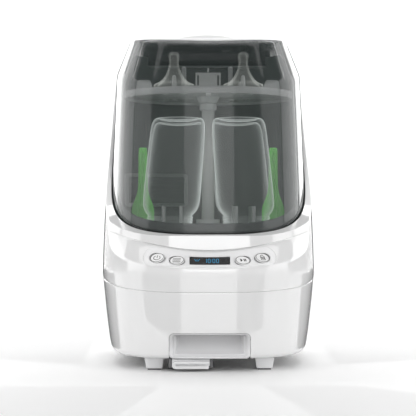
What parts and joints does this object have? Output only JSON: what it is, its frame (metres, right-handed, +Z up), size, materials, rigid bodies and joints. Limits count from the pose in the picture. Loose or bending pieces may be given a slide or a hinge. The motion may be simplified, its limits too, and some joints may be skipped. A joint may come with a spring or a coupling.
{
  "type": "bottle sterilizer",
  "caption": "Countertop steam sterilizer and dryer for feeding bottles: white body, smoked hinged hood, control shelf with display and buttons, lift-out bottle rack and shelf.",
  "frame": {"origin": "centre of the footprint, on the surface that the feet stand on", "axes": "+Z up; the control shelf and display face -Y; +X is the right-hand side seen from the rear"},
  "size_m": [0.248, 0.2837, 0.403],
  "materials": {
    "white_body": "gloss moulded white",
    "white_satin": "satin moulded white",
    "smoked_hood": "clear, smoked grey-green",
    "inner_plastic": "satin pale grey",
    "tub_lining": "satin grey",
    "rack_plastic": "satin grey",
    "post_plastic": "satin pale grey",
    "seal_rubber": "matt silicone",
    "plate_gasket": "matt silicone",
    "display_black": "gloss black window",
    "dark_plastic": "moulded dark grey",
    "panel_white": "gloss pale inlay",
    "button_white": "gloss",
    "circuit_board": "solder mask",
    "steel": "brushed",
    "zinc_steel": "zinc plated",
    "cast_heater": "cast",
    "filter_foam": "open foam",
    "foot_rubber": "matt"
  },
  "bodies": {
    "base": {"lower_shell": "white_body", "upper_shell": "white_body", "tower_cap": "white_body", "hinge_deck": "white_satin", "base_plate": "white_satin", "feet": "white_satin", "foot_pads": "foot_rubber", "grip_pocket": "white_body", "chamber_tub": "tub_lining", "rim_seal": "seal_rubber", "button_panel": "panel_white", "display_lens": "display_black", "display_module": "dark_plastic", "control_board": "circuit_board", "button_switches": "dark_plastic", "heating_plate": "steel", "heating_element": "cast_heater", "plate_seal": "plate_gasket", "thermostat": "dark_plastic", "blower_housing": "dark_plastic", "blower_motor": "zinc_steel", "air_heater": "cast_heater", "air_duct": "dark_plastic", "vent_frame": "inner_plastic", "vent_grille": "post_plastic", "filter_rails": "white_satin", "power_board": "circuit_board", "power_inlet": "dark_plastic", "hinge_brackets": "inner_plastic", "hinge_pins": "steel", "base_screws": "zinc_steel", "lid_switch": "dark_plastic"},
    "hood": {"hood": "smoked_hood", "hood_knuckles": "inner_plastic"},
    "rack": {"lower_rack": "rack_plastic", "rack_stand": "rack_plastic", "centre_post": "post_plastic", "post_collar": "rack_plastic"},
    "shelf": {"upper_shelf": "rack_plastic", "shelf_grip": "post_plastic"},
    "filter": {"filter_tray": "white_satin", "filter_mat": "filter_foam"},
    "impeller": {"impeller": "dark_plastic"},
    "power_key": {"button_power": "button_white"},
    "sterilize_key": {"button_sterilize": "button_white"},
    "start_key": {"button_start": "button_white"},
    "dry_key": {"button_dry": "button_white"}
  },
  "joints": [
    {"name": "hood_hinge", "type": "hinge", "parent": "base", "child": "hood", "pos_m": [0, 0.104, 0.376], "axis": [-1, 0, 0], "range_deg": [0, 78]},
    {"name": "rack_lift", "type": "slide", "parent": "base", "child": "rack", "axis": [0, 0, 1], "range_m": [0, 0.006]},
    {"name": "shelf_lift", "type": "slide", "parent": "rack", "child": "shelf", "axis": [0, 0, 1], "range_m": [0, 0.006]},
    {"name": "filter_slide", "type": "slide", "parent": "base", "child": "filter", "axis": [0, -1, 0], "range_m": [0, 0.07]},
    {"name": "impeller_spin", "type": "hinge", "parent": "base", "child": "impeller", "pos_m": [-0.021, -0.062, 0.03], "axis": [0, 0, 1], "continuous": true},
    {"name": "power_press", "type": "slide", "parent": "base", "child": "power_key", "axis": [0.2966, 0.657, -0.6931], "range_m": [0, 0.0008], "stiffness_N_per_m": 1500, "springref_m": -0.0005},
    {"name": "sterilize_press", "type": "slide", "parent": "base", "child": "sterilize_key", "axis": [0.1742, 0.6323, -0.7549], "range_m": [0, 0.0008], "stiffness_N_per_m": 1500, "springref_m": -0.0005},
    {"name": "start_press", "type": "slide", "parent": "base", "child": "start_key", "axis": [-0.1742, 0.6323, -0.7549], "range_m": [0, 0.0008], "stiffness_N_per_m": 1500, "springref_m": -0.0005},
    {"name": "dry_press", "type": "slide", "parent": "base", "child": "dry_key", "axis": [-0.2966, 0.657, -0.6931], "range_m": [0, 0.0008], "stiffness_N_per_m": 1500, "springref_m": -0.0005}
  ]
}
